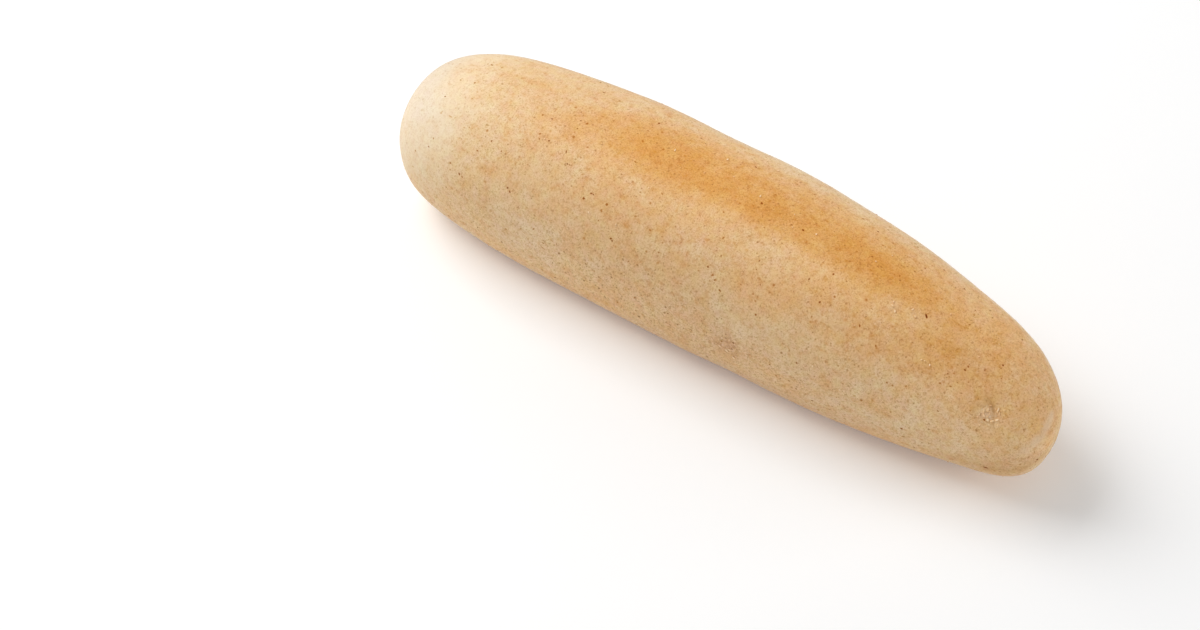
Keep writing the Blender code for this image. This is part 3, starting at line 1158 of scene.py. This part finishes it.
def specked_shade(tree, specks, shade):
    """The painted shade of the skin's finest relief, with the layers of bran specks taken from it."""
    for spacing, radius, darkness in SPECK_LAYERS:
        layer = use_group(tree, specks, {"Spacing": spacing, "Radius": radius})
        tint = stretched(tree, layer["Tint"], 0.0, 1.0, -PALEST_SPECK * darkness, -darkness)
        shade = maths(tree, "MULTIPLY_ADD", layer["Mask"], tint, shade)
    return shade


def dry_dots(tree, specks):
    """The share of dry dough in small dots."""
    dots = use_group(tree, specks, {"Spacing": DOT_SPACING, "Radius": DOT_RADIUS})
    return maths(tree, "MULTIPLY", dots["Mask"], stretched(tree, dots["Tint"], DOT_FROM, 1.0, 0.0, DOT_SHOWS))


def crust_material(dough, specks, fine_skin, torn_skin, warm_shade):
    """Soft matte baked skin."""
    material, tree, shader = new_material("baked_crust")
    baked = baked_skin(tree, dough)
    fine = use_group(tree, fine_skin, {"Dip_painted_shade": DIP_PAINTED_SHADE})
    torn = use_group(tree, torn_skin, {"Share": number_on_skin(tree, "torn")})
    coarse = number_on_skin(tree, "coarse")

    contrast = grain_contrast(tree, number_on_skin(tree, "baked"))
    contrast = maths(tree, "MULTIPLY_ADD", contrast, coarse, contrast)
    shade = maths(tree, "MULTIPLY_ADD", specked_shade(tree, specks, fine["Shade"]), contrast, 1.0)
    # Painted shade darkens the torn skin's creases.
    shade = maths(tree, "MULTIPLY_ADD", torn["Crease"], -CREASE_SHADE, shade)
    colour = use_group(tree, warm_shade, {"Colour": baked["Colour"], "Shade": shade})["Colour"]
    colour = blended(tree, dry_dots(tree, specks), colour, DRY_DOUGH)
    for share, covers, mark in (
            (torn["Flake"], TORN_FLAKES_COVER, FLAKY_DOUGH),
            (number_on_skin(tree, "flaky"), FLAKY_COVERS, FLAKY_DOUGH),
            (number_on_skin(tree, "groove_shade"), GROOVE_SHADE_COVERS, GROOVE_SHADE_DOUGH),
            (number_on_skin(tree, "wrinkled"), PINK_COVERS, PINK_DOUGH)):
        colour = blended(tree, maths(tree, "MULTIPLY", share, covers), colour, mark)
    height = maths(tree, "MULTIPLY_ADD", fine["Height"], coarse, fine["Height"])
    relief = {"Strength": BUMP_STRENGTH, "Distance": BUMP_DISTANCE, "Height": height}

    tree.links.new(colour, shader["Base Color"])
    tree.links.new(stretched(tree, baked["Heat"], 0.0, 1.0, *SKIN_ROUGHNESS), shader["Roughness"])
    tree.links.new(put(tree, "ShaderNodeBump", relief)["Normal"], shader["Normal"])
    shader["IOR"].default_value = DOUGH_IOR
    shader["Sheen Weight"].default_value = BLOOM
    shader["Sheen Roughness"].default_value = BLOOM_SPREAD
    return material


def chip_share(tree):
    """How much a chip's own colour shows: by its strength, and softly to its edge, where dough covers it."""
    strength = stretched(tree, number_on_skin(tree, "strength"), 0.0, 1.0)
    return maths(tree, "MULTIPLY", strength, stretched(tree, number_on_skin(tree, "inside"), 0.0, CHIP_FADES))


def fleck_material(dough, warm_shade):
    """Bran: from the dough's own colour, where a fleck lies under the skin, to dark brown."""
    material, tree, shader = new_material("bran")
    shade = maths(tree, "MULTIPLY_ADD", chip_share(tree), -BRAN_DARKNESS, 1.0)
    dough_colour = baked_skin(tree, dough)["Colour"]
    colour = use_group(tree, warm_shade, {"Colour": dough_colour, "Shade": shade, "Redness": BRAN_REDNESS})
    tree.links.new(colour["Colour"], shader["Base Color"])
    shader["Roughness"].default_value = CHIP_ROUGHNESS
    shader["IOR"].default_value = BRAN_IOR
    return material


def flake_material(dough):
    """Dry flakes of dough, paler than the skin that they lie on."""
    material, tree, shader = new_material("dry_dough")
    share = maths(tree, "MULTIPLY", chip_share(tree), FLAKE_COVERS)
    tree.links.new(blended(tree, share, baked_skin(tree, dough)["Colour"], DRY_DOUGH), shader["Base Color"])
    shader["Roughness"].default_value = CHIP_ROUGHNESS
    shader["IOR"].default_value = DOUGH_IOR
    return material


# ---------------------------------------------------------------- the studio

def way_back(heading, height):
    """From the stick to what looks at it from a heading and a height in degrees."""
    turn, rise = math.radians(heading), math.radians(height)
    return Vector((math.sin(turn) * math.cos(rise), -math.cos(turn) * math.cos(rise), math.sin(rise)))


def stand(name, data, aim, back, distance):
    """A lamp or camera in its place, looking at its aim."""
    thing = add_piece(name, data)
    thing.location = aim + back * distance
    thing.rotation_mode = "QUATERNION"
    thing.rotation_quaternion = (-back).to_track_quat("-Z", "Y")
    return thing


def make_camera():
    back = way_back(VIEW_AZIMUTH, VIEW_ELEVATION)
    right = way_back(VIEW_AZIMUTH + QUARTER_TURN, 0.0)
    aim = Vector((0.0, 0.0, AIM_HEIGHT)) + right * AIM_RIGHT + back.cross(right) * AIM_UP
    lens = bpy.data.cameras.new("camera")
    lens.lens = LENS
    lens.sensor_width = SENSOR_WIDTH
    lens.clip_start = NEAREST_SEEN
    bpy.context.scene.camera = stand("camera", lens, aim, back, VIEW_DISTANCE)


def make_lights():
    scene = bpy.context.scene
    scene.view_settings.view_transform = "Standard"
    scene.world = bpy.data.worlds.new("white_room")
    scene.world.use_nodes = True
    room = scene.world.node_tree.nodes["Background"].inputs
    room["Color"].default_value = WHITE
    room["Strength"].default_value = ROOM_BRIGHTNESS
    for name, heading, height, distance, size, power in LIGHTS:
        light = bpy.data.lights.new(name, "AREA")
        light.shape = "SQUARE"
        light.size = size
        light.energy = power
        stand(name, light, Vector((0.0, 0.0, AIM_HEIGHT)), way_back(VIEW_AZIMUTH + heading, height), distance)


def make_floor():
    material, _, shader = new_material("pale_floor")
    shader["Base Color"].default_value = FLOOR_WHITE
    shader["Roughness"].default_value = FLOOR_ROUGHNESS
    shader["Emission Color"].default_value = WHITE
    shader["Emission Strength"].default_value = FLOOR_GLOW
    bpy.ops.mesh.primitive_plane_add(size=FLOOR_SIZE)
    floor = bpy.context.object
    floor.name = "floor"
    floor.data.materials.append(material)


# ---------------------------------------------------------------- the whole

make_camera()
make_lights()
make_floor()

stick = Stick(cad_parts["breadstick"])
warm_shade = warm_shade_group()
dough = baked_dough_group(warm_shade)
specks = bran_specks_group()
fine_skin = fine_skin_group()
torn_skin = torn_skin_group()

crust = make_crust(stick, crust_material(dough, specks, fine_skin, torn_skin, warm_shade))
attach(crust, "root")
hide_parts("breadstick")

flecks = make_bran_flecks(stick, crust, fleck_material(dough, warm_shade))
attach(flecks, "root")

flakes = make_dough_flakes(stick, crust, flake_material(dough))
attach(flakes, "root")
